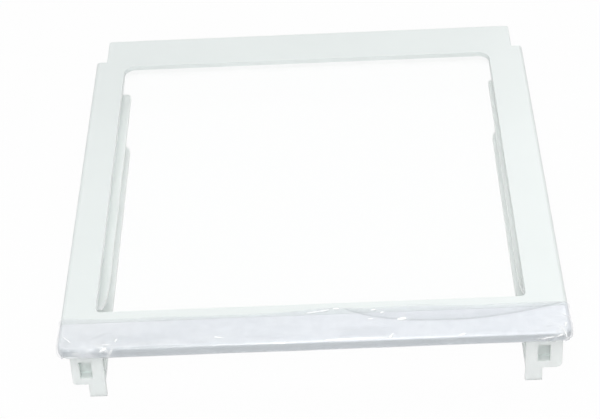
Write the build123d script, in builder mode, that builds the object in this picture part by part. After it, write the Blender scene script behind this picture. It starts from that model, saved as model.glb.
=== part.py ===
"""Freezer shelf: a moulded frame that carries a glass pane above two drawer rails.

Millimetres, +Z up. Seen from the front, +X is to the right and +Y runs to the rear.
The origin lies under the middle of the shelf, level with the two front feet.
"""
import math
import os

from build123d import *

# Plan of the shelf
WIDTH = 330.0
DEPTH = 370.0
LEFT_BAND = 22.4
RIGHT_BAND = 26.2
REAR_BAND = 37.5
FRONT_BAND = 37.0
NOTCH_WIDTH = 8.0
NOTCH_DEPTH = 30.0

# Frame moulding
PLATE = 3.0
SKIRT = 2.5
EDGE_ROUND = 3.0
TAB_EDGE_ROUND = 1.0
TAB_CORNER = 2.0
TAB_DROP = 1.0
WINDOW_BEVEL = 0.6
WINDOW_REAR_CORNER = 9.0
WINDOW_FRONT_CORNER = 4.0
BEAM_DEPTH = 11.5
STEP_PLATE = 2.8
RIB = 2.0
TAB_RIB_PITCH = 44.0

# Glass pane, the ledge under its front edge and the hooks under its rear edge
GLASS = 4.0
GLASS_OVERLAP = 7.0
GLASS_REAR_OVERLAP = 12.0
GLASS_FIT = 0.4
GLASS_GAP = 0.3
GLASS_CORNER = 4.0
GLASS_ARRIS = 0.5
LEDGE = 2.0
LEDGE_REACH = 6.0
HOOK_WIDTH = 16.0
HOOK_STEM = 2.5
HOOK_REACH = 4.5
HOOK_PITCH = 84.0

# Front trim and the film stuck over it
TRIM_DEPTH = 26.0
TRIM_WALL = 2.0
TRIM_FIT = 0.2
BAR_HEIGHT = 8.5
BAR_CORNER = 8.0
BAR_LOWER_ROUND = 2.5
LIP_HEIGHT = 1.2
LIP_DEPTH = 2.0
LIP_WIDTH = 34.0
LIP_PITCH = 64.0
FILM = 0.2
FILM_DEPTH = 29.0
FILM_SIDE_DROP = 5.5
FILM_UNDER = 8.0

# Drawer rails
RAIL_FRONT = 18.0
RAIL_REAR = 39.0
LEFT_RAIL_INSET = 4.6
RIGHT_RAIL_INSET = 3.4
LEFT_REVEAL = 3.5
RIGHT_REVEAL = 1.2
RAIL_WALL = 2.5
LEFT_RAIL_CORNER = 2.5
RIGHT_RAIL_CORNER = 3.8
SEAT_FLANGE = 2.5
SEAT_SETBACK = 2.0
HEADROOM = 17.2
GUIDE = 2.5
GUIDE_CORNER = 4.0
GUIDE_SETBACK = 0.8
GUIDE_RUN_UP = 108.0
GUIDE_RADIUS = 98.0
CHANNEL = 13.2
RUNNER = 3.0
RUNNER_SHORT = 44.0
RUNNER_CORNER = 12.0
RAIL_RIB_DEPTH = 9.0
RAIL_RIB_PITCH = 112.0

# Front end of a rail: a box with a moulding core in its front, and a foot below it
END_PLATE = 3.0
END_BOX = 9.0
END_WALL = 2.0
END_POST = 8.0
CORE_WIDTH = 8.0
CORE_HEIGHT = 13.8
CORE_SILL = 2.4
FOOT_WIDTH = 11.2
FOOT_HEIGHT = 10.8
FOOT_WEB = 3.0
FOOT_WEB_RUN = 12.0

# Screws that draw the rails up to the frame
SCREW_INSET = 11.5
SCREW_DIAMETER = 3.0
SCREW_FIT = 0.2
SCREW_GRIP = 4.5
SCREW_HEAD = 6.4
SCREW_HEAD_HEIGHT = 2.2
SCREW_HEAD_BEVEL = 0.8
SCREW_FRONT_MARGIN = 8.0
SCREW_REAR_MARGIN = 38.0
BOSS = 6.4
DRIVER_HOLE = 7.4

# Levels, from the feet upwards
RUNNER_BOTTOM = FOOT_HEIGHT
RUNNER_TOP = RUNNER_BOTTOM + RUNNER
GUIDE_BOTTOM = RUNNER_TOP + CHANNEL
GUIDE_TOP = GUIDE_BOTTOM + GUIDE
SEAT_UNDERSIDE = GUIDE_TOP + HEADROOM
SEAT = SEAT_UNDERSIDE + SEAT_FLANGE
TAB_BOTTOM = SEAT - TAB_DROP
PLATE_UNDERSIDE = SEAT + GLASS + GLASS_GAP
TOP = PLATE_UNDERSIDE + PLATE
BEAM_TOP = TOP - TRIM_WALL - TRIM_FIT
BAR_BOTTOM = TOP - BAR_HEIGHT
BEAM_BOTTOM = BAR_BOTTOM + TRIM_WALL + TRIM_FIT

# Places across the shelf
RIGHT = WIDTH / 2
LEFT = -RIGHT
TAB_RIGHT = RIGHT - NOTCH_WIDTH
BEAM_RIGHT = RIGHT - TRIM_WALL - TRIM_FIT
WINDOW_LEFT = LEFT + LEFT_BAND
WINDOW_RIGHT = RIGHT - RIGHT_BAND
LEFT_RAIL_INSIDE = WINDOW_LEFT + LEFT_REVEAL
RIGHT_RAIL_INSIDE = WINDOW_RIGHT - RIGHT_REVEAL
GLASS_LEFT = WINDOW_LEFT - GLASS_OVERLAP
GLASS_RIGHT = WINDOW_RIGHT + GLASS_OVERLAP

# Places along the depth
REAR = DEPTH / 2
NOSE = -REAR + FILM
WINDOW_FRONT = NOSE + FRONT_BAND
WINDOW_REAR = REAR - REAR_BAND
NOTCH_Y = REAR - NOTCH_DEPTH
GLASS_FRONT = WINDOW_FRONT - GLASS_OVERLAP
GLASS_REAR = WINDOW_REAR + GLASS_REAR_OVERLAP
GROOVE_FRONT = GLASS_FRONT - GLASS_FIT
HOOK_Y = GLASS_REAR + GLASS_FIT
TRIM_REAR = NOSE + TRIM_DEPTH
DECK_FRONT = TRIM_REAR + TRIM_FIT
BEAM_FRONT = NOSE + TRIM_WALL + TRIM_FIT
BEAM_REAR = BEAM_FRONT + BEAM_DEPTH
LIP_REAR = BEAM_REAR + TRIM_FIT + LIP_DEPTH
RAIL_FRONT_Y = NOSE + RAIL_FRONT
END_WALL_Y = RAIL_FRONT_Y + END_BOX
RAIL_REAR_Y = REAR - RAIL_REAR
RAIL_MIDDLE_Y = (RAIL_FRONT_Y + RAIL_REAR_Y) / 2
RUNNER_REAR_Y = RAIL_REAR_Y - RUNNER_SHORT
GUIDE_START_Y = NOSE + GUIDE_RUN_UP

# Fixing points of the rails, with a rib on each side of the middle one
SCREW_FRONT_Y = END_WALL_Y + END_WALL + SCREW_FRONT_MARGIN
SCREW_ROW = [SCREW_FRONT_Y, RAIL_MIDDLE_Y, RAIL_REAR_Y - SCREW_REAR_MARGIN]
RIB_ROW = [RAIL_MIDDLE_Y - RAIL_RIB_PITCH / 2, RAIL_MIDDLE_Y + RAIL_RIB_PITCH / 2]
SCREW_POINTS = [(side * (RIGHT - SCREW_INSET), y) for side in (-1, 1) for y in SCREW_ROW]

TOUCH = 0.001


def rectangle(x_one, x_other, y_one, y_other, mode=Mode.ADD):
    """Rectangle in the sketch at hand, between two opposite corners."""
    with Locations(((x_one + x_other) / 2, (y_one + y_other) / 2)):
        Rectangle(abs(x_other - x_one), abs(y_other - y_one), mode=mode)


def round_outer_corner(sketch, level, radius):
    """Round the corner of a sketch that is furthest from the middle at the given level."""
    at_level = sketch.vertices().filter_by(lambda corner: abs(corner.Y - level) < TOUCH)
    fillet(at_level.sort_by(lambda corner: abs(corner.X))[-1], radius)


def bar_block(margin, depth):
    """Front bar with rounded edges, grown by a margin all round except at its rear."""
    rear = NOSE + depth
    with BuildPart() as bar:
        with BuildSketch(Plane.XY.offset(BAR_BOTTOM - margin)):
            rectangle(LEFT - margin, RIGHT + margin, NOSE - margin, rear)
        extrude(amount=BAR_HEIGHT + 2 * margin)
        fillet(bar.edges().filter_by(Axis.Z).group_by(Axis.Y)[0], BAR_CORNER + margin)
        upper_edges = bar.edges().group_by(Axis.Z)[-1]
        fillet(upper_edges.filter_by(lambda edge: edge.center().Y < rear - TOUCH), EDGE_ROUND + margin)
        lower_edges = bar.edges().group_by(Axis.Z)[0]
        fillet(lower_edges.filter_by(lambda edge: edge.center().Y < rear - TOUCH), BAR_LOWER_ROUND + margin)
    return bar.part


def rail(side, outside, inside, window_edge, corner):
    """Drawer rail between two places across the shelf: side is -1 on the left and 1 on the right."""
    wall_inside = outside - side * RAIL_WALL
    guide_inside = inside + side * GUIDE_SETBACK
    seat_inside = window_edge + side * SEAT_SETBACK
    screws = [(side * (RIGHT - SCREW_INSET), y) for y in SCREW_ROW]
    with BuildPart() as body:
        # Channel section: seat flange for the glass, outer wall and runner
        with BuildSketch(Plane.XZ.offset(-RAIL_FRONT_Y)) as section:
            rectangle(outside, seat_inside, SEAT_UNDERSIDE, SEAT)
            rectangle(outside, wall_inside, RUNNER_BOTTOM, SEAT)
            rectangle(outside, inside, RUNNER_BOTTOM, RUNNER_TOP)
            round_outer_corner(section, RUNNER_BOTTOM, corner)
        extrude(amount=RAIL_FRONT_Y - RUNNER_REAR_Y)
        rear_uprights = body.edges().filter_by(Axis.Z).group_by(Axis.Y)[-1]
        fillet(rear_uprights.sort_by(lambda edge: abs(edge.center().X))[0], RUNNER_CORNER)
        # Behind the runner only the seat flange and the upper wall go on, with a sloping tail
        with BuildSketch(Plane.XZ.offset(-RUNNER_REAR_Y)):
            rectangle(outside, seat_inside, SEAT_UNDERSIDE, SEAT)
            rectangle(outside, wall_inside, GUIDE_BOTTOM, SEAT)
        extrude(amount=RUNNER_REAR_Y - RAIL_REAR_Y)
        with BuildSketch(Plane.YZ.offset(outside)):
            with BuildLine():
                Polyline(
                    (RUNNER_REAR_Y, GUIDE_BOTTOM),
                    (RAIL_REAR_Y, GUIDE_BOTTOM),
                    (RUNNER_REAR_Y, RUNNER_BOTTOM + corner),
                    close=True,
                )
            make_face()
        extrude(amount=-side * RAIL_WALL)
        # Guide above the runner, swept up to the seat flange in front to let the drawer in
        arc_centre = (GUIDE_START_Y, GUIDE_BOTTOM + GUIDE / 2 + GUIDE_RADIUS)
        arc_drop = arc_centre[1] - (SEAT + SEAT_UNDERSIDE) / 2
        lower_radius = GUIDE_RADIUS + GUIDE / 2
        upper_radius = GUIDE_RADIUS - GUIDE / 2
        lower_turn = math.degrees(math.acos(arc_drop / lower_radius))
        upper_turn = math.degrees(math.acos(arc_drop / upper_radius))
        with BuildSketch(Plane.YZ.offset(wall_inside)):
            with BuildLine():
                lower = CenterArc(arc_centre, lower_radius, -90, -lower_turn)
                upper = CenterArc(arc_centre, upper_radius, -90, -upper_turn)
                Line(lower @ 1, upper @ 1)
                Polyline(upper @ 0, (RAIL_REAR_Y, GUIDE_TOP), (RAIL_REAR_Y, GUIDE_BOTTOM), lower @ 0)
            make_face()
        extrude(amount=guide_inside - wall_inside)
        rear_uprights = body.edges().filter_by(Axis.Z).group_by(Axis.Y)[-1]
        fillet(rear_uprights.sort_by(lambda edge: abs(edge.center().X))[0], GUIDE_CORNER)
        # Cross ribs that hold the guide to the seat flange
        with BuildSketch(*[Plane.XZ.offset(-(y + RIB / 2)) for y in [*RIB_ROW, RAIL_REAR_Y - RIB / 2]]):
            rectangle(wall_inside, wall_inside - side * RAIL_RIB_DEPTH, GUIDE_TOP, SEAT_UNDERSIDE)
        extrude(amount=RIB)
        # Cored end plate with the foot below it, and the cross wall behind it
        with BuildSketch(Plane.XZ.offset(-RAIL_FRONT_Y)) as end:
            rectangle(outside, inside, RUNNER_BOTTOM, SEAT)
            rectangle(inside, inside + side * FOOT_WIDTH, 0, RUNNER_BOTTOM)
            round_outer_corner(end, RUNNER_BOTTOM, corner)
            core_inside = inside + side * END_POST
            core_outside = core_inside + side * CORE_WIDTH
            core_bottom = RUNNER_TOP + CORE_SILL
            rectangle(core_outside, core_inside, core_bottom, core_bottom + CORE_HEIGHT, Mode.SUBTRACT)
        extrude(amount=-END_PLATE)
        with BuildSketch(Plane.XZ.offset(-END_WALL_Y)):
            rectangle(wall_inside, inside, RUNNER_TOP, SEAT_UNDERSIDE)
        extrude(amount=-END_WALL)
        with BuildSketch(Plane.YZ.offset(inside + side * (FOOT_WIDTH - FOOT_WEB) / 2)):
            plate_rear = RAIL_FRONT_Y + END_PLATE
            with BuildLine():
                Polyline(
                    (plate_rear, 0),
                    (plate_rear, RUNNER_BOTTOM),
                    (plate_rear + FOOT_WEB_RUN, RUNNER_BOTTOM),
                    close=True,
                )
            make_face()
        extrude(amount=side * FOOT_WEB)
        # Screw holes, with room for a driver below each
        with BuildSketch(Plane.XY.offset(RUNNER_BOTTOM)):
            with Locations(*screws):
                Circle(DRIVER_HOLE / 2)
        extrude(amount=SEAT_UNDERSIDE - RUNNER_BOTTOM, mode=Mode.SUBTRACT)
        with BuildSketch(Plane.XY.offset(SEAT_UNDERSIDE)):
            with Locations(*screws):
                Circle(SCREW_DIAMETER / 2 + SCREW_FIT)
        extrude(amount=SEAT_FLANGE, mode=Mode.SUBTRACT)
    return body.part


# Frame: a deck with a hanging skirt round it, deeper at the rear tab, the window, and a front beam
with BuildPart() as top_frame:
    with BuildSketch(Plane.XY.offset(SEAT)):
        rectangle(LEFT, RIGHT, DECK_FRONT, NOTCH_Y)
    extrude(amount=TOP - SEAT)
    with BuildSketch(Plane.XY.offset(TAB_BOTTOM)):
        rectangle(-TAB_RIGHT, TAB_RIGHT, NOTCH_Y - SKIRT, REAR)
    extrude(amount=TOP - TAB_BOTTOM)
    fillet(top_frame.edges().filter_by(Axis.Z).group_by(Axis.Y)[-1], TAB_CORNER)
    deck_edges = top_frame.edges().group_by(Axis.Z)[-1]
    fillet(deck_edges.filter_by(lambda edge: abs(edge.center().X) > RIGHT - TOUCH), EDGE_ROUND)
    deck_edges = top_frame.edges().group_by(Axis.Z)[-1]
    fillet(deck_edges.filter_by(lambda edge: edge.center().Y > NOTCH_Y + TOUCH), TAB_EDGE_ROUND)
    with BuildSketch(Plane.XY.offset(SEAT)):
        rectangle(LEFT + SKIRT, RIGHT - SKIRT, GROOVE_FRONT, NOTCH_Y - SKIRT)
    extrude(amount=PLATE_UNDERSIDE - SEAT, mode=Mode.SUBTRACT)
    with BuildSketch(Plane.XY.offset(TAB_BOTTOM)):
        rectangle(-TAB_RIGHT + SKIRT, TAB_RIGHT - SKIRT, NOTCH_Y - SKIRT, REAR - SKIRT)
    extrude(amount=PLATE_UNDERSIDE - TAB_BOTTOM, mode=Mode.SUBTRACT)
    with BuildSketch(Plane.XY.offset(TOP)) as window:
        rectangle(WINDOW_LEFT, WINDOW_RIGHT, WINDOW_FRONT, WINDOW_REAR)
        fillet(window.vertices().group_by(Axis.Y)[-1], WINDOW_REAR_CORNER)
        fillet(window.vertices().group_by(Axis.Y)[0], WINDOW_FRONT_CORNER)
    bevel_angle = math.degrees(math.atan2(WINDOW_BEVEL, PLATE))
    extrude(amount=-PLATE, taper=bevel_angle, mode=Mode.SUBTRACT)
    # Beam and step plate under the trim
    with BuildSketch(Plane.YZ.offset(-BEAM_RIGHT)):
        rectangle(BEAM_FRONT, DECK_FRONT, BEAM_TOP - STEP_PLATE, BEAM_TOP)
        rectangle(BEAM_FRONT, BEAM_REAR, BEAM_BOTTOM, BEAM_TOP)
    extrude(amount=2 * BEAM_RIGHT)
    fillet(top_frame.edges().filter_by(Axis.Z).group_by(Axis.Y)[0], BAR_CORNER - TRIM_WALL)
    # Ledge under the front edge of the glass, between the rails
    ledge_left = LEFT_RAIL_INSIDE + GLASS_FIT
    ledge_right = RIGHT_RAIL_INSIDE - GLASS_FIT
    with BuildSketch(Plane.XY.offset(SEAT - LEDGE)):
        rectangle(ledge_left, ledge_right, DECK_FRONT, GLASS_FRONT + LEDGE_REACH)
    extrude(amount=LEDGE)
    # Hooks under the rear edge of the glass
    with BuildSketch(*[Plane.YZ.offset(x - HOOK_WIDTH / 2) for x in (-HOOK_PITCH, 0, HOOK_PITCH)]):
        rectangle(HOOK_Y, HOOK_Y + HOOK_STEM, SEAT - LEDGE, PLATE_UNDERSIDE)
        rectangle(GLASS_REAR - HOOK_REACH, HOOK_Y, SEAT - LEDGE, SEAT)
    extrude(amount=HOOK_WIDTH)
    # Bosses and cross ribs that the rails bear on, and ribs under the rear tab
    rib_front = HOOK_Y + HOOK_STEM
    rib_rear = REAR - SKIRT
    tab_ribs = int(2 * TAB_RIGHT // TAB_RIB_PITCH)
    with BuildSketch(Plane.XY.offset(SEAT)):
        with Locations(*SCREW_POINTS):
            Circle(BOSS / 2)
        for y in RIB_ROW:
            rectangle(LEFT + SKIRT, GLASS_LEFT - GLASS_FIT, y - RIB / 2, y + RIB / 2)
            rectangle(GLASS_RIGHT + GLASS_FIT, RIGHT - SKIRT, y - RIB / 2, y + RIB / 2)
        with Locations((0, (rib_front + rib_rear) / 2)):
            with GridLocations(TAB_RIB_PITCH, 0, tab_ribs, 1):
                Rectangle(RIB, rib_rear - rib_front)
    extrude(amount=PLATE_UNDERSIDE - SEAT)
    with BuildSketch(Plane.XY.offset(SEAT)):
        with Locations(*SCREW_POINTS):
            Circle((SCREW_DIAMETER + SCREW_FIT) / 2)
    extrude(amount=SCREW_GRIP + SCREW_FIT, mode=Mode.SUBTRACT)
top_frame.part.label = "top_frame"

# Glass pane with ground edges, resting on the rails, the ledge and the hooks
with BuildPart() as glass_pane:
    with BuildSketch(Plane.XY.offset(SEAT)) as pane:
        rectangle(GLASS_LEFT, GLASS_RIGHT, GLASS_FRONT, GLASS_REAR)
        fillet(pane.vertices(), GLASS_CORNER)
    extrude(amount=GLASS)
    chamfer(glass_pane.faces().filter_by(Axis.Z).edges(), GLASS_ARRIS)
glass_pane.part.label = "glass_pane"

# Front trim: a hollow nosing that clips over the beam, closed at both ends
trim_blank = bar_block(0, TRIM_DEPTH)
with BuildPart() as front_trim:
    add(trim_blank)
    with BuildSketch(Plane.XY.offset(BAR_BOTTOM + TRIM_WALL)) as hollow:
        rectangle(LEFT + TRIM_WALL, RIGHT - TRIM_WALL, NOSE + TRIM_WALL, TRIM_REAR)
        fillet(hollow.vertices().group_by(Axis.Y)[0], BAR_CORNER - TRIM_WALL)
    extrude(amount=BAR_HEIGHT - 2 * TRIM_WALL, mode=Mode.SUBTRACT)
    with BuildSketch(Plane.XY.offset(BAR_BOTTOM)):
        rectangle(LEFT + TRIM_WALL, RIGHT - TRIM_WALL, LIP_REAR, TRIM_REAR)
    extrude(amount=TRIM_WALL, mode=Mode.SUBTRACT)
    # The end walls rise from the underside of the bar to the foot of the skirt
    with BuildSketch(Plane.YZ.offset(LEFT)):
        with BuildLine():
            Polyline((LIP_REAR, BAR_BOTTOM), (TRIM_REAR, BAR_BOTTOM), (TRIM_REAR, SEAT), close=True)
        make_face()
    extrude(amount=WIDTH, mode=Mode.SUBTRACT)
    # Lips that snap in behind the beam
    with BuildSketch(Plane.XY.offset(BAR_BOTTOM + TRIM_WALL)):
        with Locations((0, LIP_REAR - LIP_DEPTH / 2)):
            with GridLocations(LIP_PITCH, 0, int(2 * BEAM_RIGHT // LIP_PITCH), 1):
                Rectangle(LIP_WIDTH, LIP_DEPTH)
    extrude(amount=LIP_HEIGHT)
front_trim.part.label = "front_trim"

# Protective film over the bar, tucked under its front edge
film_blank = bar_block(FILM, FILM_DEPTH)
film_core = bar_block(0, FILM_DEPTH)
with BuildPart() as protective_film:
    add(film_blank)
    add(film_core, mode=Mode.SUBTRACT)
    with BuildSketch(Plane.XY.offset(BAR_BOTTOM - FILM)):
        rectangle(LEFT - FILM, RIGHT + FILM, NOSE + FILM_UNDER, NOSE + FILM_DEPTH)
    extrude(amount=BAR_HEIGHT + FILM - FILM_SIDE_DROP, mode=Mode.SUBTRACT)
protective_film.part.label = "protective_film"

# Rails: the right one is wider, under the wider band
left_shape = rail(-1, LEFT + LEFT_RAIL_INSET, LEFT_RAIL_INSIDE, WINDOW_LEFT, LEFT_RAIL_CORNER)
right_shape = rail(1, RIGHT - RIGHT_RAIL_INSET, RIGHT_RAIL_INSIDE, WINDOW_RIGHT, RIGHT_RAIL_CORNER)
with BuildPart() as left_rail:
    add(left_shape)
left_rail.part.label = "left_rail"
with BuildPart() as right_rail:
    add(right_shape)
right_rail.part.label = "right_rail"

# Pan head screws, one under each boss
with BuildPart() as rail_screws:
    with BuildSketch(Plane.XY.offset(SEAT_UNDERSIDE)):
        with Locations(*SCREW_POINTS):
            Circle(SCREW_HEAD / 2)
    extrude(amount=-SCREW_HEAD_HEIGHT)
    chamfer(rail_screws.edges().group_by(Axis.Z)[0], SCREW_HEAD_BEVEL)
    with BuildSketch(Plane.XY.offset(SEAT_UNDERSIDE)):
        with Locations(*SCREW_POINTS):
            Circle(SCREW_DIAMETER / 2)
    extrude(amount=SEAT_FLANGE + SCREW_GRIP)
rail_screws.part.label = "rail_screws"

os.makedirs("parts", exist_ok=True)
for piece in (top_frame, glass_pane, front_trim, protective_film, left_rail, right_rail, rail_screws):
    export_step(piece.part, f"parts/{piece.part.label}.step")
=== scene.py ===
"""Looks of the freezer shelf: moulded plastic, clear glass, screws and a wrinkled protective film.

Metres, in the part's own frame: +X to the right seen from the front, +Y to the rear, +Z up.
"""
import math

import bmesh
import bpy
import numpy as np
from mathutils import Matrix, Vector


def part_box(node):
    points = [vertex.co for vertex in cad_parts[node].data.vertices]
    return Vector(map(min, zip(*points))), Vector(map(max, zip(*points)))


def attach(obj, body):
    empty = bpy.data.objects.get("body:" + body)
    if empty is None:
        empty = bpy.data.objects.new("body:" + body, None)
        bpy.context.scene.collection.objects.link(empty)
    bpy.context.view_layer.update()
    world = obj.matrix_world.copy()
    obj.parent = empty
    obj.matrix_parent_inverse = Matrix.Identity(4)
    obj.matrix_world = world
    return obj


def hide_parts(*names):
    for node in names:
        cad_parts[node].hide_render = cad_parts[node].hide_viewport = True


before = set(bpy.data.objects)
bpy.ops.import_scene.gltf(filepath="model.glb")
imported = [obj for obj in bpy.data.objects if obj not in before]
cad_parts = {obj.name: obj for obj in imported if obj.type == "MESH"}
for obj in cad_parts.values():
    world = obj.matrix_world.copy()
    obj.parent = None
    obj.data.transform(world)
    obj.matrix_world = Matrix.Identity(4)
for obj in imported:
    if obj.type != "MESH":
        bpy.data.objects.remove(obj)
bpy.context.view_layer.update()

MM = 0.001

# Front bar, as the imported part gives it
TRIM_LOW, TRIM_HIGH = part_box("front_trim")
BAR_HALF = TRIM_HIGH.x
BAR_NOSE = TRIM_LOW.y
BAR_TOP = TRIM_HIGH.z
BAR_HEIGHT = TRIM_HIGH.z - TRIM_LOW.z
BAR_CORNER = 8.0 * MM
BAR_UPPER_ROUND = 3.0 * MM
BAR_LOWER_ROUND = 2.5 * MM

# Protective film, measured flat and outwards from the rounded corners of the bar
FILM_GAP = 0.20 * MM
FILM_THICKNESS = 0.10 * MM
FILM_BACK = 29.0 * MM
FILM_UNDER = 21.5 * MM
FILM_UNDER_AT_LEFT = 11.5 * MM
FILM_UNDER_AT_RIGHT = 14.0 * MM
FILM_UNDER_TAPER = 26.0 * MM
FILM_SIDE = 12.0 * MM
FILM_COLUMNS = 400
FILM_ROWS = 116
FILM_END_CROWDING = 0.35

# Wrinkles of the film: heights above the bar
RIPPLE_RISE = 0.10 * MM
GLINT_FOLD_RISE = 0.06 * MM
LIFTED_RISE = 0.9 * MM
PLEAT_RISE = 0.45 * MM
FLARE_RISE = 0.5 * MM

# Long crease of the film, a shallow bowl seen from above
CREASE_MIDDLE = 92 * MM
CREASE_HALF = 69 * MM
CREASE_NEAREST = 16.0 * MM
CREASE_BOWL = 12.8 * MM

# Loose folds of the film, drawn by lot
FOLD_SEED = 11
END_FOLDS = 26
EDGE_FOLDS = 20
STRONG_FOLD_RISE = 0.6 * MM

# The glint folds carry painted highlights and rise a little above the film
# Glint folds of the film in mm: place, depth behind the nose, turn, half length, half width
GLINT_FOLDS = (
    (12.0, 1.0, 0.0, 6.0, 0.5), (32.0, 1.4, 0.0, 18.0, 0.55), (50.0, 3.0, 0.9, 2.2, 0.7),
    (-22.0, 0.5, 0.0, 5.0, 0.5), (-61.0, 6.7, -0.15, 3.5, 0.6), (-127.0, 7.6, 1.2, 2.0, 0.8),
    (-135.0, 0.3, 0.5, 3.0, 0.7), (95.0, 1.5, 0.2, 2.5, 0.6), (157.0, -1.2, 0.4, 2.5, 0.7),
    (161.0, 6.4, 1.4, 2.5, 0.7), (39.0, 27.6, 0.1, 2.0, 0.7), (44.5, 24.8, 0.3, 1.6, 0.9),
    (37.0, 19.5, 0.0, 2.2, 0.6), (57.0, 18.2, 0.15, 3.4, 1.3), (3.0, 28.6, 0.16, 9.0, 0.7),
    (15.0, 30.8, 0.0, 2.0, 0.9),
)

# Screws that hold the rails
SCREW_HEAD_RADIUS = 3.2 * MM
SCREW_HEAD_HEIGHT = 2.2 * MM
SCREW_RADIUS = 1.5 * MM
SCREW_PITCH = 1.2 * MM
SCREW_THREAD = 0.35 * MM
SCREW_TIP = 1.4 * MM
SCREW_DOME = 0.9 * MM
SCREW_SEAT_GAP = 0.02 * MM
SCREW_RECESS = 1.3 * MM
SCREW_TURN_POINTS = 40
SCREW_DOME_POINTS = 22
SCREW_SHANK_POINTS = 64

# Camera at the viewpoint of the reference picture
CAMERA_PLACE = Vector((0.0230, -1.1321, 0.8751))
CAMERA_TARGET = Vector((-0.0079, -0.0448, 0.0565))
CAMERA_ROLL = math.radians(-3.25)
CAMERA_LENS = 117.65
CAMERA_SENSOR = 36.0

# Room: the floor's slope is the rise of the runners over the feet, and how far behind them they end
FLOOR_HALF = 6.0
FLOOR_RISE = 10.8 * MM
FLOOR_RUN = 268.8 * MM
FLOOR_GAP = 0.1 * MM
FLOOR_GREY = 0.75
FLOOR_WHITE_SHARE = 0.97
WORLD_LIGHT = 0.32
LAMP_AIM = Vector((0, 0, 0.05))

# Lamps: name, place, size, power in watts, and whether gloss mirrors it
LAMPS = (
    ("key", (-0.75, 0.60, 1.40), (0.7, 0.7), 1.6, True),
    ("overhead", (0.09, 0.06, 1.05), (0.3, 0.8), 3.3, False),
    ("sheen", (0.55, 1.50, 1.15), (0.2, 0.6), 3.4, True),
    ("front", (-0.03, -1.20, 1.05), (0.5, 0.8), 11.5, True),
    ("left side", (-1.20, -0.25, 0.40), (1.6, 0.5), 1.8, False),
    ("right side", (1.20, -0.25, 0.40), (1.6, 0.5), 1.8, False),
)


def smooth(value, low, high):
    """Zero below low, one above high, and a cubic ease between them."""
    share = np.clip((value - low) / (high - low), 0.0, 1.0)
    return share * share * (3.0 - 2.0 * share)


def grid_faces(columns, rows, around=False):
    """Quads between neighbouring points of a grid; around also joins the last row to the first."""
    steps = np.arange(rows if around else rows - 1)
    column, row = np.meshgrid(np.arange(columns - 1), steps, indexing="ij")
    after = (row + 1) % rows
    first, second = column * rows, (column + 1) * rows
    corners = (first + row, first + after, second + after, second + row)
    return np.stack(corners, axis=-1).reshape(-1, 4)


def mesh_object(name, points, faces):
    """Object at the origin from arrays of points and of quads."""
    mesh = bpy.data.meshes.new(name)
    mesh.from_pydata(points.reshape(-1, 3).tolist(), [], faces.tolist())
    mesh.polygons.foreach_set("use_smooth", np.ones(len(mesh.polygons), dtype=bool))
    mesh.update()
    piece = bpy.data.objects.new(name, mesh)
    bpy.context.scene.collection.objects.link(piece)
    return piece


# Protective film


def edge_run(reach):
    """Distance out and drop of a film that reaches a length past the start of a rounded corner.

    The film runs level, bends down round the upper edge, drops down the face, bends in round the
    lower edge and runs back below the bar. Each stretch is the reach clipped to its own length.
    """
    level = BAR_CORNER - BAR_UPPER_ROUND
    face = BAR_HEIGHT - BAR_UPPER_ROUND - BAR_LOWER_ROUND
    quarter = math.pi / 2
    upper_end = level + BAR_UPPER_ROUND * quarter
    lower_end = upper_end + face + BAR_LOWER_ROUND * quarter
    upper_turn = np.clip((reach - level) / BAR_UPPER_ROUND, 0.0, quarter)
    lower_turn = np.clip((reach - upper_end - face) / BAR_LOWER_ROUND, 0.0, quarter)
    fall = np.clip(reach - upper_end, 0.0, face)
    tuck = np.maximum(reach - lower_end, 0.0)
    out = np.minimum(reach, level) + BAR_UPPER_ROUND * np.sin(upper_turn)
    out = out - BAR_LOWER_ROUND * (1.0 - np.cos(lower_turn)) - tuck
    drop = BAR_UPPER_ROUND * (1.0 - np.cos(upper_turn)) + fall
    drop = drop + BAR_LOWER_ROUND * np.sin(lower_turn)
    return out, drop


def film_rear_edge(x):
    """Depth of the film's cut edge behind the nose: a level line with slow waves and one bulge."""
    waves = 0.8 * np.sin(x / (31 * MM) + 0.6) + 0.5 * np.sin(x / (12.5 * MM) + 2.1)
    bulge = 1.8 * np.exp(-(((x - 13 * MM) / (16 * MM)) ** 2))
    return FILM_BACK + (waves + bulge) * MM


def crease_depth(x):
    """Depth behind the nose of the long crease: a power of the distance from its middle."""
    share = (x - CREASE_MIDDLE) / CREASE_HALF
    return CREASE_NEAREST + CREASE_BOWL * np.abs(share) ** np.where(share < 0, 3.0, 1.8)


def crease_span(x):
    """One along the long crease, easing to zero at its two ends."""
    return smooth(x, 16 * MM, 24 * MM) * (1.0 - smooth(x, 158 * MM, 168 * MM))


def ridge(x, depth, near_x, near_depth, turn, half_length, half_width):
    """Straight ridge with a Gaussian section across it and a flatter fall towards its ends."""
    along = (x - near_x) * math.cos(turn) + (depth - near_depth) * math.sin(turn)
    aside = (depth - near_depth) * math.cos(turn) - (x - near_x) * math.sin(turn)
    return np.exp(-((aside / half_width) ** 2) - (along / half_length) ** 4)


def glint_folds(x, depth):
    """Sum of the ridges of the glint folds, at most one: they rise a little and carry painted
    highlights.
    """
    total = 0.0 * x
    for near_x, near_depth, turn, half_length, half_width in GLINT_FOLDS:
        middle = (near_x * MM, near_depth * MM)
        total = total + ridge(x, depth, *middle, turn, half_length * MM, half_width * MM)
    return np.minimum(total, 1.0)


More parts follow.
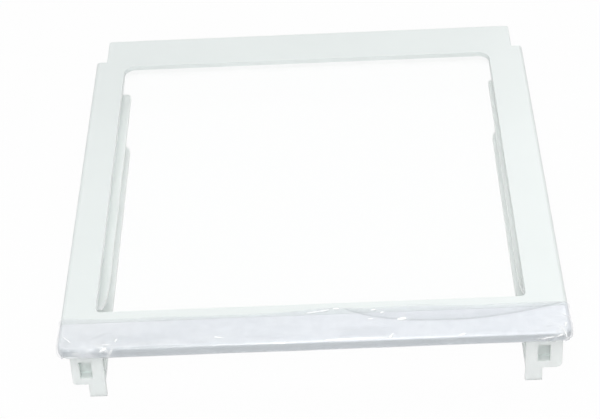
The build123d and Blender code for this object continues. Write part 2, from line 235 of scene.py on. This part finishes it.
def loose_folds():
    """Folds drawn by lot, with their rise: first those at the bar's two ends, then those in front.

    The ranges are in mm: place, depth behind the nose, turn, half length, half width and rise.
    """
    draws = np.random.default_rng(FOLD_SEED)
    folds = []
    for count in range(END_FOLDS + EDGE_FOLDS):
        side = 1.0
        ranges = ((-120, 120), (0, 9), (-0.25, 0.25), (6, 18), (0.6, 1.3), (0.10, 0.30))
        if count < END_FOLDS:
            side, nearest = (-1.0, 128) if count % 2 else (1.0, 148)
            ranges = ((nearest, 166), (-5, 16), (-1.2, 1.2), (3, 9), (0.6, 1.3), (0.25, 0.65))
        near_x, near_depth, turn, half_length, half_width, rise = (
            draws.uniform(low, high) for low, high in ranges)
        fold = (side * near_x * MM, near_depth * MM, turn, half_length * MM, half_width * MM)
        folds.append((fold, rise * MM))
    return folds


def film_marks(x, depth, reach, facing):
    """Marks of the film, each from 0 to 1, over place x, depth and reach past the corner.

    They are painted light and shade in the film's colour. The painted shade of the bar's front
    face starts on the upper round and fades out under the lower one, with a gap near the left end.
    The painted shadow behind the lifted strip is strongest along the long crease and fades behind
    it, with one faint patch of painted darker reflection before it and a darker cloudy patch at the
    left. The painted shade of the crease is a thin line, and so is that of every third of the loose
    folds. The last mark is the painted highlights of the glint folds, with the rest of the loose
    ones.
    """
    # Painted shade of the bar's front face
    start = (6.2 + 1.6 * smooth(x, -100 * MM, 10 * MM)) * MM
    face = smooth(reach, start, start + 1.1 * MM) * (1.0 - 0.6 * smooth(reach, 11 * MM, 15 * MM))
    right = smooth(x, 110 * MM, 150 * MM)
    face = face * smooth(facing + 0.5 * right, 0.6, 0.95)
    face = face * (1.0 - 0.7 * np.exp(-(((x + 146 * MM) / (7 * MM)) ** 4)))
    # Painted shadow behind the lifted strip, fading towards the cut edge
    behind = depth - crease_depth(x)
    lift_shadow_and_patches = crease_span(x) * smooth(behind, -0.3 * MM, 0.3 * MM)
    lift_shadow_and_patches = lift_shadow_and_patches * np.exp(-np.maximum(behind, 0.0) / (7.0 * MM))
    # Painted darker reflection in a patch before the crease
    patch = np.exp(-(((x - 33 * MM) / (19 * MM)) ** 4) - ((depth - 7.5 * MM) / (4.5 * MM)) ** 4)
    # Darker cloudy patch at the left end
    cloud = np.exp(-(((x + 120 * MM) / (27 * MM)) ** 2) - ((depth - 8.5 * MM) / (4.5 * MM)) ** 2)
    cloud = cloud * (1.0 + 0.4 * np.sin(x / (4.3 * MM) + 0.7 * np.sin(depth / (2.3 * MM))))
    # Painted shade line along the crease
    crease = crease_span(x) * np.exp(-((behind / (0.6 * MM)) ** 2))
    # Painted highlights on the glint folds; below, every third loose fold gets a painted shade line
    # and the others a painted highlight
    white = glint_folds(x, depth)
    for count, (fold, rise) in enumerate(loose_folds()):
        strength = min(rise / STRONG_FOLD_RISE, 1.0)
        if count % 3:
            white = np.maximum(white, 0.8 * strength * ridge(x, depth, *fold))
        else:
            crease = np.maximum(crease, 0.6 * strength * ridge(x, depth, *fold))
    lift_shadow_and_patches = np.maximum(lift_shadow_and_patches, 0.5 * patch + 0.45 * cloud)
    return np.stack([face, lift_shadow_and_patches, crease, white], axis=-1)


def film_wrinkles(x, depth):
    """Height of the film above the bar, as a sum of forms over place x and depth.

    Slow ripples are products of sines. The lifted strip rises steeply behind the long crease and
    eases off to the cut edge. Short folds are straight ridges. The cut edge curls up within a few
    millimetres of itself.
    """
    sway = 1.3 * np.sin(depth / (9 * MM))
    ripples = np.sin(x / (17 * MM) + sway) * np.sin(depth / (7 * MM) + x / (40 * MM))
    height = RIPPLE_RISE * (1.0 + ripples) + GLINT_FOLD_RISE * glint_folds(x, depth)
    lifted = 1.0 - np.exp(-np.maximum(depth - crease_depth(x), 0.0) / (4.0 * MM))
    height = height + LIFTED_RISE * crease_span(x) * lifted
    for fold, rise in loose_folds():
        height = height + rise * ridge(x, depth, *fold)
    to_edge = film_rear_edge(x) - depth
    curl = 0.35 + 0.25 * np.sin(x / (9 * MM) + 0.8)
    return height + curl * MM * np.exp(-np.maximum(to_edge, 0.0) / (1.6 * MM))


def film_surface():
    """Flat film laid over the bar: points on a grid, their marks, and the flat area it was cut to.

    A point of the flat film that lies past the corner centres is carried along edge_run in the
    direction in which it lies past them, so the film goes over the front, the ends and the corners.
    Then each point moves out along the surface's own normal by the height of the wrinkles, the
    pleats that gather at the corners and the loose flare of the end flaps.
    """
    share = np.linspace(-1.0, 1.0, FILM_COLUMNS)
    share = (1.0 - FILM_END_CROWDING) * share + FILM_END_CROWDING * np.sin(share * math.pi / 2)
    core = BAR_HALF - BAR_CORNER
    flat_x = share * (core + FILM_SIDE)
    back = film_rear_edge(flat_x) - BAR_CORNER
    at_ends = smooth(np.abs(flat_x), core - FILM_UNDER_TAPER, core)
    under_at_ends = np.where(flat_x < 0, FILM_UNDER_AT_LEFT, FILM_UNDER_AT_RIGHT)
    under = FILM_UNDER + (under_at_ends - FILM_UNDER) * at_ends
    rows = np.linspace(0.0, 1.0, FILM_ROWS)
    flat_x, rows = np.meshgrid(flat_x, rows, indexing="ij")
    forward = -back[:, None] + (back + under)[:, None] * rows
    past_x = flat_x - np.clip(flat_x, -core, core)
    past_y = np.maximum(forward, 0.0)
    reach = np.hypot(past_x, past_y)
    out, drop = edge_run(reach)
    safe = np.maximum(reach, 1e-9)
    x = np.clip(flat_x, -core, core) + past_x / safe * out
    y = BAR_NOSE + BAR_CORNER - np.minimum(forward, 0.0) - past_y / safe * out
    points = np.stack([x, y, BAR_TOP - drop], axis=-1)
    normals = np.cross(np.gradient(points, axis=1), np.gradient(points, axis=0))
    normals = normals / np.maximum(np.linalg.norm(normals, axis=-1, keepdims=True), 1e-12)
    height = FILM_GAP + film_wrinkles(flat_x, BAR_CORNER - forward)
    turn = np.arctan2(past_y, np.abs(past_x))
    pleats = np.sin(2 * turn) * (1.0 + np.cos(13 * turn)) * smooth(reach, 2 * MM, 7 * MM)
    flare = smooth(np.abs(past_x), 5 * MM, FILM_SIDE) * (1.0 + 0.45 * np.sin(y / (4.1 * MM)))
    height = height + PLEAT_RISE * pleats + FLARE_RISE * flare
    lengths = back + under
    area = float(np.sum((lengths[1:] + lengths[:-1]) / 2 * np.diff(flat_x[:, 0])))
    points = points + normals * height[..., None]
    marks = film_marks(flat_x, BAR_CORNER - forward, reach, past_y / safe)
    return points, marks, area


def film_uv(piece):
    """UV map of the film: along the bar and across it, each from 0 to 1, taken from the grid."""
    along = np.linspace(0, 1, FILM_COLUMNS)
    across = np.linspace(0, 1, FILM_ROWS)
    along, across = np.meshgrid(along, across, indexing="ij")
    corner_points = np.empty(len(piece.data.loops), dtype=np.int32)
    piece.data.loops.foreach_get("vertex_index", corner_points)
    places = np.stack([along, across], axis=-1).reshape(-1, 2)[corner_points]
    layer = piece.data.uv_layers.new(name="film")
    layer.data.foreach_set("uv", places.astype(np.float32).ravel())


def keep_marks(piece, marks):
    """Marks as a colour attribute, all painted light and shade: shade of the front face, shadow
    behind the lifted strip, shade along creases and highlights on glint folds.
    """
    layer = piece.data.attributes.new("marks", "FLOAT_COLOR", "POINT")
    layer.data.foreach_set("color", marks.astype(np.float32).ravel())


def make_film():
    """Wrinkled film in place of the even skin on the bar."""
    points, marks, area = film_surface()
    film = mesh_object("wrinkled_film", points, grid_faces(FILM_COLUMNS, FILM_ROWS))
    film_uv(film)
    keep_marks(film, marks)
    wall = film.modifiers.new("wall", "SOLIDIFY")
    wall.thickness = FILM_THICKNESS
    wall.offset = 1.0
    film.data.materials.append(film_finish())
    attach(film, "root")
    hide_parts("protective_film")


# Screws


def cross_recess(x, y):
    """Depth of the driver's cross: two crossed slots with sloping walls, narrower at their ends."""
    def slot(along, aside):
        half = 0.62 * MM - 0.12 * np.abs(along)
        within = 1.0 - smooth(np.abs(aside), 0.5 * half, half)
        return within * (1.0 - smooth(np.abs(along), 0.9 * MM, 1.9 * MM))
    return SCREW_RECESS * np.maximum(slot(x, y), slot(y, x))


def screw_surface(length):
    """Pan head screw that points up, its head's seat at the origin: points by run and turn.

    The run goes from the middle of the head over its dome and rim, in along its seat, and up the
    shank to the tip. On the shank the radius dips by a cosine wave of height over pitch plus turn,
    which makes the thread, and shrinks to nothing over the tip.
    """
    turn = np.linspace(0.0, 2 * math.pi, SCREW_TURN_POINTS, endpoint=False)
    dome = np.linspace(0.0, 1.0, SCREW_DOME_POINTS)
    shank = np.linspace(0.0, 1.0, SCREW_SHANK_POINTS)
    seat = np.array([0.0, 0.5])
    under_head = SCREW_HEAD_RADIUS - seat * SCREW_RADIUS
    radius = np.concatenate([dome * SCREW_HEAD_RADIUS, under_head, shank * 0 + SCREW_RADIUS])
    over_head = -SCREW_HEAD_HEIGHT + SCREW_DOME * dome ** 4
    height = np.concatenate([over_head, seat * 0 - SCREW_SEAT_GAP, shank * length])
    radius, turns = np.meshgrid(radius, turn, indexing="ij")
    height = np.repeat(height[:, None], SCREW_TURN_POINTS, axis=1)
    on_shank = np.arange(len(radius))[:, None] >= len(dome) + len(seat)
    thread = 0.5 - 0.5 * np.cos(2 * math.pi * height / SCREW_PITCH - turns)
    to_tip = np.clip((length - height) / SCREW_TIP, 0.0, 1.0)
    radius = np.where(on_shank, (radius - SCREW_THREAD * thread) * np.sqrt(to_tip), radius)
    x = radius * np.cos(turns)
    y = radius * np.sin(turns)
    on_dome = np.arange(len(radius))[:, None] < len(dome)
    height = height + np.where(on_dome, cross_recess(x, y), 0.0)
    return np.stack([x, y, height], axis=-1)


def make_screws():
    """Six screws with thread and cross recess in place of the plain ones, at the same places."""
    low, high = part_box("rail_screws")
    rail_low, rail_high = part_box("left_rail")
    seat = low.z + SCREW_HEAD_HEIGHT
    one = screw_surface(high.z - seat)
    rows = (low.y + SCREW_HEAD_RADIUS, (rail_low.y + rail_high.y) / 2, high.y - SCREW_HEAD_RADIUS)
    sides = (low.x + SCREW_HEAD_RADIUS, high.x - SCREW_HEAD_RADIUS)
    places = np.array([(x, y, seat) for x in sides for y in rows])
    points = one[None] + places[:, None, None, :]
    faces = grid_faces(one.shape[0], one.shape[1], around=True)
    count = one.shape[0] * one.shape[1]
    faces = (faces[None] + (np.arange(len(places)) * count)[:, None, None]).reshape(-1, 4)
    screws = mesh_object("cross_head_screws", points, faces)
    close_poles(screws)
    screws.data.materials.append(zinc_steel())
    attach(screws, "root")
    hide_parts("rail_screws")


def close_poles(piece):
    """Merge the points that meet at a pole and turn the faces outwards."""
    work = bmesh.new()
    work.from_mesh(piece.data)
    bmesh.ops.remove_doubles(work, verts=work.verts, dist=1e-6)
    bmesh.ops.recalc_face_normals(work, faces=work.faces)
    work.to_mesh(piece.data)
    work.free()


# Finishes


class Finish:
    """Material with one Principled shader and short calls to add its nodes."""

    def __init__(self, name):
        self.material = bpy.data.materials.new(name)
        self.material.use_nodes = True
        self.nodes = self.material.node_tree.nodes
        self.links = self.material.node_tree.links
        self.shader = self.nodes["Principled BSDF"]

    def node(self, kind, **values):
        """New node of a kind, with its properties set."""
        made = self.nodes.new(kind)
        for key, value in values.items():
            setattr(made, key, value)
        return made

    def link(self, source, target):
        """Link from an output socket to an input socket."""
        self.links.new(source, target)

    def set(self, **values):
        """Constant values on the shader's own sockets, with _ for a space in the socket's name."""
        for key, value in values.items():
            self.shader.inputs[key.replace("_", " ")].default_value = value

    def noise(self, scale, detail=2.0, roughness=0.5, coordinates="Object"):
        """Noise pattern on the piece's own coordinates: its value runs from 0 to 1."""
        place = self.node("ShaderNodeTexCoord")
        pattern = self.node("ShaderNodeTexNoise")
        pattern.inputs["Scale"].default_value = scale
        pattern.inputs["Detail"].default_value = detail
        pattern.inputs["Roughness"].default_value = roughness
        self.link(place.outputs[coordinates], pattern.inputs["Vector"])
        return pattern.outputs["Fac"]

    def ramp(self, value, stops):
        """Colour ramp over a value, with (position, colour) stops."""
        made = self.node("ShaderNodeValToRGB")
        elements = made.color_ramp.elements
        while len(elements) < len(stops):
            elements.new(0.5)
        for element, (position, colour) in zip(elements, stops):
            element.position = position
            element.color = (*colour, 1.0)
        self.link(value, made.inputs["Fac"])
        return made.outputs["Color"]

    def spread(self, value, low, high):
        """Value from 0 to 1 spread between two others."""
        made = self.node("ShaderNodeMapRange")
        made.inputs["To Min"].default_value = low
        made.inputs["To Max"].default_value = high
        self.link(value, made.inputs["Value"])
        return made.outputs["Result"]

    def film_place(self):
        """Place along the film, from 0 at its left end to 1 at its right end."""
        place = self.node("ShaderNodeUVMap", uv_map="film")
        parts = self.node("ShaderNodeSeparateXYZ")
        self.link(place.outputs["UV"], parts.inputs["Vector"])
        return parts.outputs["X"]

    def film_marks(self):
        """Painted light of the film: face shade, lift shadow, crease shade and glint highlights."""
        marks = self.node("ShaderNodeAttribute", attribute_name="marks")
        parts = self.node("ShaderNodeSeparateColor")
        self.link(marks.outputs["Color"], parts.inputs["Color"])
        return [parts.outputs[name] for name in ("Red", "Green", "Blue")] + [marks.outputs["Alpha"]]

    def product(self, one, other):
        """One colour times another."""
        made = self.node("ShaderNodeMix", data_type="RGBA", blend_type="MULTIPLY")
        made.inputs["Factor"].default_value = 1.0
        self.link(one, made.inputs[6])
        self.link(other, made.inputs[7])
        return made.outputs[2]

    def toward(self, colour, mark, target):
        """Colour carried towards a target colour by a mark from 0 to 1."""
        made = self.node("ShaderNodeMix", data_type="RGBA")
        self.link(mark, made.inputs["Factor"])
        self.link(colour, made.inputs[6])
        made.inputs[7].default_value = (*target, 1.0)
        return made.outputs[2]

    def rising(self, mark, low, high):
        """Zero below a low mark, one above a high one, and straight between them."""
        made = self.node("ShaderNodeMapRange")
        self.link(mark, made.inputs["Value"])
        made.inputs["From Min"].default_value = low
        made.inputs["From Max"].default_value = high
        return made.outputs["Result"]

    def raised(self, value, mark, share):
        """Value plus a share of a mark, kept between 0 and 1."""
        made = self.node("ShaderNodeMath", operation="MULTIPLY_ADD", use_clamp=True)
        self.link(mark, made.inputs[0])
        made.inputs[1].default_value = share
        self.link(value, made.inputs[2])
        return made.outputs[0]

    def bump(self, value, distance, strength=1.0):
        """Relief from a value, in metres, on the shader's normal."""
        made = self.node("ShaderNodeBump")
        made.inputs["Distance"].default_value = distance
        made.inputs["Strength"].default_value = strength
        self.link(value, made.inputs["Height"])
        self.link(made.outputs["Normal"], self.shader.inputs["Normal"])


def moulded_plastic(name, pale, deep, roughness, grain, depth=0.0):
    """Satin moulded plastic: cloudy tint, uneven gloss, fine grain and light let in to a depth."""
    finish = Finish(name)
    tint = finish.ramp(finish.noise(14.0, detail=3.0), [(0.35, deep), (0.65, pale)])
    finish.link(tint, finish.shader.inputs["Base Color"])
    gloss = finish.spread(finish.noise(60.0, detail=4.0), roughness - 0.06, roughness + 0.06)
    finish.link(gloss, finish.shader.inputs["Roughness"])
    finish.bump(finish.noise(2600.0, detail=2.0), grain)
    finish.set(IOR=1.5, Specular_IOR_Level=0.5)
    if depth:
        finish.set(Subsurface_Weight=0.7, Subsurface_Radius=(1.0, 1.0, 1.0), Subsurface_Scale=depth)
    return finish.material


def clear_glass():
    """Clear float glass with a faint green body and the odd wipe mark in its gloss."""
    finish = Finish("clear_glass")
    marks = finish.noise(9.0, detail=5.0, roughness=0.6)
    finish.link(finish.spread(marks, 0.0, 0.035), finish.shader.inputs["Roughness"])
    finish.set(Base_Color=(0.995, 1.0, 0.998, 1.0), Transmission_Weight=1.0, IOR=1.5)
    return finish.material


def film_finish():
    """Clear film, grey at left and lilac at right, with painted shade and highlights from marks."""
    finish = Finish("lilac_film")
    clouds = finish.noise(22.0, detail=4.0)
    tint = finish.ramp(clouds, [(0.3, (0.72, 0.75, 0.83)), (0.7, (0.80, 0.825, 0.89))])
    along = finish.ramp(finish.film_place(), [(0.10, (0.96, 0.95, 0.92)), (0.55, (1.0, 1.0, 1.0))])
    colour = finish.product(tint, along)
    face, lift_shadow_and_patches, crease, white = finish.film_marks()
    # Painted shade on the bar's front face
    colour = finish.toward(colour, face, (0.54, 0.575, 0.61))
    # Painted shadow behind the lifted strip, with a painted darker reflection and a darker cloudy
    # patch
    colour = finish.toward(colour, lift_shadow_and_patches, (0.70, 0.73, 0.77))
    # Painted shade along the crease and every third loose fold
    colour = finish.toward(colour, crease, (0.55, 0.58, 0.61))
    # Painted highlights on the glint folds and the other loose folds
    colour = finish.toward(colour, finish.rising(white, 0.1, 0.5), (0.97, 0.98, 0.99))
    finish.link(colour, finish.shader.inputs["Base Color"])
    haze = finish.noise(120.0, detail=5.0, roughness=0.65)
    veil = finish.spread(haze, 0.10, 0.19)
    # Painted highlights turn the film nearly opaque where the glints are strongest
    glint_cover = finish.rising(white, 0.5, 0.6)
    # Each painted mark also raises the film's alpha, which deepens the painted shade
    for mark, share in ((face, 0.13), (lift_shadow_and_patches, 0.10), (crease, 0.06), (glint_cover, 0.80)):
        veil = finish.raised(veil, mark, share)
    finish.link(veil, finish.shader.inputs["Alpha"])
    finish.link(finish.spread(haze, 0.10, 0.22), finish.shader.inputs["Roughness"])
    finish.bump(finish.noise(380.0, detail=3.0), 0.05 * MM)
    finish.set(IOR=1.6, Specular_IOR_Level=0.5)
    return finish.material


def zinc_steel():
    """Zinc plated steel with a cloudy grey lustre."""
    finish = Finish("zinc_steel")
    clouds = finish.noise(900.0, detail=4.0)
    tint = finish.ramp(clouds, [(0.3, (0.52, 0.53, 0.54)), (0.7, (0.70, 0.70, 0.69))])
    finish.link(tint, finish.shader.inputs["Base Color"])
    finish.link(finish.spread(clouds, 0.24, 0.42), finish.shader.inputs["Roughness"])
    finish.set(Metallic=1.0)
    return finish.material


def dress(node, material):
    """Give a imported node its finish."""
    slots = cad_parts[node].data.materials
    slots.clear()
    slots.append(material)


# Room


def make_floor():
    """Pale floor on the plane through the front feet and the rear ends of the runners.

    Seen by the camera, in gloss and through glass it is mostly white light, with a share of the
    lit surface left in, so that the shadow of the shelf stays on it.
    """
    feet_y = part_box("left_rail")[0].y
    slope = FLOOR_RISE / FLOOR_RUN
    half = FLOOR_HALF
    corners = [(-half, -half), (half, -half), (half, half), (-half, half)]
    points = np.array([(x, y, (y - feet_y) * slope - FLOOR_GAP) for x, y in corners])
    floor = mesh_object("floor", points, np.array([[0, 1, 2, 3]]))
    material = bpy.data.materials.new("pale_floor")
    material.use_nodes = True
    nodes = material.node_tree.nodes
    links = material.node_tree.links
    nodes.clear()
    matt = nodes.new("ShaderNodeBsdfDiffuse")
    matt.inputs["Color"].default_value = (FLOOR_GREY, FLOOR_GREY, FLOOR_GREY, 1.0)
    light = nodes.new("ShaderNodeEmission")
    light.inputs["Strength"].default_value = 1.0
    seen = seen_rays(nodes, links)
    share = nodes.new("ShaderNodeMath")
    share.operation = "MULTIPLY"
    share.inputs[1].default_value = FLOOR_WHITE_SHARE
    links.new(seen, share.inputs[0])
    mix = nodes.new("ShaderNodeMixShader")
    links.new(share.outputs[0], mix.inputs["Fac"])
    links.new(matt.outputs[0], mix.inputs[1])
    links.new(light.outputs[0], mix.inputs[2])
    surface = nodes.new("ShaderNodeOutputMaterial")
    links.new(mix.outputs[0], surface.inputs["Surface"])
    floor.data.materials.append(material)


def seen_rays(nodes, links):
    """One for rays from the camera, in gloss and through glass, and zero for the rest."""
    path = nodes.new("ShaderNodeLightPath")
    total = path.outputs["Is Camera Ray"]
    for name in ("Is Glossy Ray", "Is Transmission Ray"):
        both = nodes.new("ShaderNodeMath")
        both.operation = "MAXIMUM"
        links.new(total, both.inputs[0])
        links.new(path.outputs[name], both.inputs[1])
        total = both.outputs[0]
    return total


def make_world():
    """White surroundings where they are seen, and an even soft light elsewhere."""
    world = bpy.data.worlds.new("studio")
    bpy.context.scene.world = world
    world.use_nodes = True
    nodes = world.node_tree.nodes
    links = world.node_tree.links
    background = nodes["Background"]
    background.inputs["Color"].default_value = (1.0, 1.0, 1.0, 1.0)
    strength = nodes.new("ShaderNodeMapRange")
    strength.inputs["To Min"].default_value = WORLD_LIGHT
    strength.inputs["To Max"].default_value = 1.0
    links.new(seen_rays(nodes, links), strength.inputs["Value"])
    links.new(strength.outputs["Result"], background.inputs["Strength"])


def make_lamp(name, place, size, power, mirrored):
    """Rectangular soft light turned to the middle of the shelf, mirrored in gloss or not."""
    lamp = bpy.data.lights.new(name, "AREA")
    lamp.shape = "RECTANGLE"
    lamp.size, lamp.size_y = size
    lamp.energy = power
    holder = bpy.data.objects.new(name, lamp)
    holder.location = place
    holder.visible_glossy = mirrored
    holder.rotation_mode = "QUATERNION"
    holder.rotation_quaternion = (LAMP_AIM - Vector(place)).to_track_quat("-Z", "Y")
    bpy.context.scene.collection.objects.link(holder)


def make_camera():
    """Camera that looks from its place to its target, rolled about that line."""
    forward = (CAMERA_TARGET - CAMERA_PLACE).normalized()
    level = forward.cross(Vector((0, 0, 1))).normalized()
    upright = level.cross(forward)
    right = level * math.cos(CAMERA_ROLL) + upright * math.sin(CAMERA_ROLL)
    up = right.cross(forward)
    turn = Matrix((right, up, -forward)).transposed().to_4x4()
    lens = bpy.data.cameras.new("camera")
    lens.lens = CAMERA_LENS
    lens.sensor_width = CAMERA_SENSOR
    lens.clip_start = 0.01
    lens.clip_end = 50.0
    camera = bpy.data.objects.new("camera", lens)
    camera.matrix_world = Matrix.Translation(CAMERA_PLACE) @ turn
    bpy.context.scene.collection.objects.link(camera)
    bpy.context.scene.camera = camera


bpy.context.scene.view_settings.view_transform = "Standard"
make_camera()
make_world()
make_floor()
for lamp in LAMPS:
    make_lamp(*lamp)

frame_white = moulded_plastic(
    "frame_white", (0.785, 0.83, 0.82), (0.77, 0.815, 0.805), roughness=0.38, grain=0.012 * MM)
dress("top_frame", frame_white)
trim_white = moulded_plastic(
    "trim_white", (0.86, 0.885, 0.90), (0.84, 0.87, 0.885), roughness=0.30, grain=0.008 * MM)
dress("front_trim", trim_white)
rail_white = moulded_plastic(
    "rail_white", (0.895, 0.955, 0.93), (0.875, 0.94, 0.915), roughness=0.42, grain=0.015 * MM,
    depth=4.0 * MM)
dress("left_rail", rail_white)
dress("right_rail", rail_white)
dress("glass_pane", clear_glass())
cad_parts["glass_pane"].visible_shadow = False
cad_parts["glass_pane"].visible_diffuse = False
make_film()
make_screws()
